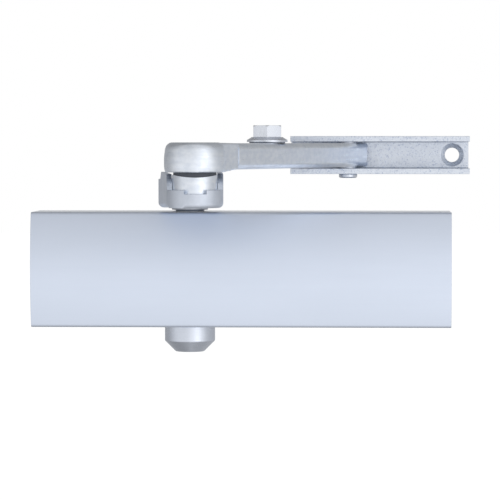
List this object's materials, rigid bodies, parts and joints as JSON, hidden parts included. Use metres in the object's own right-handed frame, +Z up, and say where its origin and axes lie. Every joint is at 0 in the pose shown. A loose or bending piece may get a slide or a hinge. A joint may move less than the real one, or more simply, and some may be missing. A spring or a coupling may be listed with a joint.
{
  "type": "door closer",
  "caption": "Overhead hydraulic door closer: satin extruded cover, pinion with folding two-piece arm, clamp bolt, and a channel bracket for the frame.",
  "frame": {"origin": "centre of the door-fixing hole pattern on the casting's back face", "axes": "+X to the right along the cover, -Y away from the door towards the room, +Z up; the pose is the closed door"},
  "size_m": [0.2351, 0.2163, 0.1215],
  "materials": {
    "cast_alloy": "die cast, matt",
    "satin_cover": "satin silver anodised, drawn along its length",
    "grey_plastic": "fine moulded texture",
    "spring_steel": "bright strip",
    "plated_steel": "bright zinc plate",
    "machined_steel": "turned",
    "bearing_steel": "ground",
    "dark_steel": "oiled, hardened",
    "satin_cap": "satin silver",
    "brass": "stamped",
    "oiled_spring": "oil tempered wire",
    "seal_rubber": "matt",
    "pressed_zinc": "pressed sheet, zinc plated",
    "forged_zinc": "forged, bright mottled plate",
    "spangled_zinc": "galvanised sheet with fine spangle",
    "grey_nylon": "smooth"
  },
  "bodies": {
    "closer_body": {"casting": "cast_alloy", "cover": "satin_cover", "end_cap_left": "grey_plastic", "end_cap_right": "grey_plastic", "cover_clips": "spring_steel", "clip_screws": "plated_steel", "end_plug_left": "machined_steel", "end_plug_right": "machined_steel", "plug_seal_left": "seal_rubber", "plug_seal_right": "seal_rubber", "upper_bearing": "bearing_steel", "lower_bearing": "bearing_steel", "upper_bearing_nut": "machined_steel", "lower_bearing_nut": "machined_steel", "upper_shaft_seal": "seal_rubber", "lower_shaft_seal": "seal_rubber", "pinion_cap": "satin_cap", "closing_spring": "oiled_spring"},
    "arm": {"pinion": "dark_steel", "main_arm": "pressed_zinc", "arm_hub": "machined_steel", "arm_washer": "plated_steel", "arm_screw": "plated_steel", "elbow_spacer": "forged_zinc", "elbow_pin": "plated_steel", "thrust_washer": "grey_nylon"},
    "piston": {"piston": "machined_steel", "check_ball": "bearing_steel", "check_retainer": "brass", "spring_seat": "machined_steel"},
    "elbow": {"elbow_arm": "forged_zinc", "clamp_bolt": "plated_steel", "clamp_washer": "dark_steel"},
    "link": {"link": "forged_zinc", "pivot_bush": "grey_nylon"},
    "bracket": {"frame_bracket": "spangled_zinc", "pivot_rivet": "plated_steel"},
    "closing_screw": {"closing_valve": "machined_steel", "closing_valve_seal": "seal_rubber"},
    "latching_screw": {"latching_valve": "machined_steel", "latching_valve_seal": "seal_rubber"},
    "backcheck_screw": {"backcheck_valve": "machined_steel", "backcheck_valve_seal": "seal_rubber"}
  },
  "joints": [
    {"name": "pinion_turn", "type": "hinge", "parent": "closer_body", "child": "arm", "pos_m": [-0.0283, -0.022, 0], "axis": [0, 0, 1], "range_deg": [0, 165], "stiffness_Nm_per_rad": 3.9, "springref_deg": -143.24},
    {"name": "piston_slide", "type": "slide", "parent": "closer_body", "child": "piston", "axis": [1, 0, 0], "range_m": [0, 0.02304], "deforming": ["closing_spring"]},
    {"name": "elbow_turn", "type": "hinge", "parent": "arm", "child": "elbow", "pos_m": [-0.0148, -0.20149, 0.05], "axis": [0, 0, 1], "range_deg": [-150, 15]},
    {"name": "arm_length", "type": "slide", "parent": "elbow", "child": "link", "axis": [0.3589, 0.9334, 0], "range_m": [0, 0.04]},
    {"name": "bracket_turn", "type": "hinge", "parent": "link", "child": "bracket", "pos_m": [0.0571, -0.0145, 0.06], "axis": [0, 0, 1], "range_deg": [-60, 65]},
    {"name": "closing_screw_turn", "type": "hinge", "parent": "closer_body", "child": "closing_screw", "pos_m": [-0.095, -0.03505, -0.01555], "axis": [1, 0, 0], "range_deg": [0, 360]},
    {"name": "latching_screw_turn", "type": "hinge", "parent": "closer_body", "child": "latching_screw", "pos_m": [-0.095, -0.03505, 0.01555], "axis": [1, 0, 0], "range_deg": [0, 360]},
    {"name": "backcheck_screw_turn", "type": "hinge", "parent": "closer_body", "child": "backcheck_screw", "pos_m": [-0.095, -0.00895, 0.01555], "axis": [1, 0, 0], "range_deg": [0, 360]}
  ],
  "couplings": [
    {"joint": "piston_slide", "follows": "pinion_turn", "m_per_rad": 0.008}
  ]
}
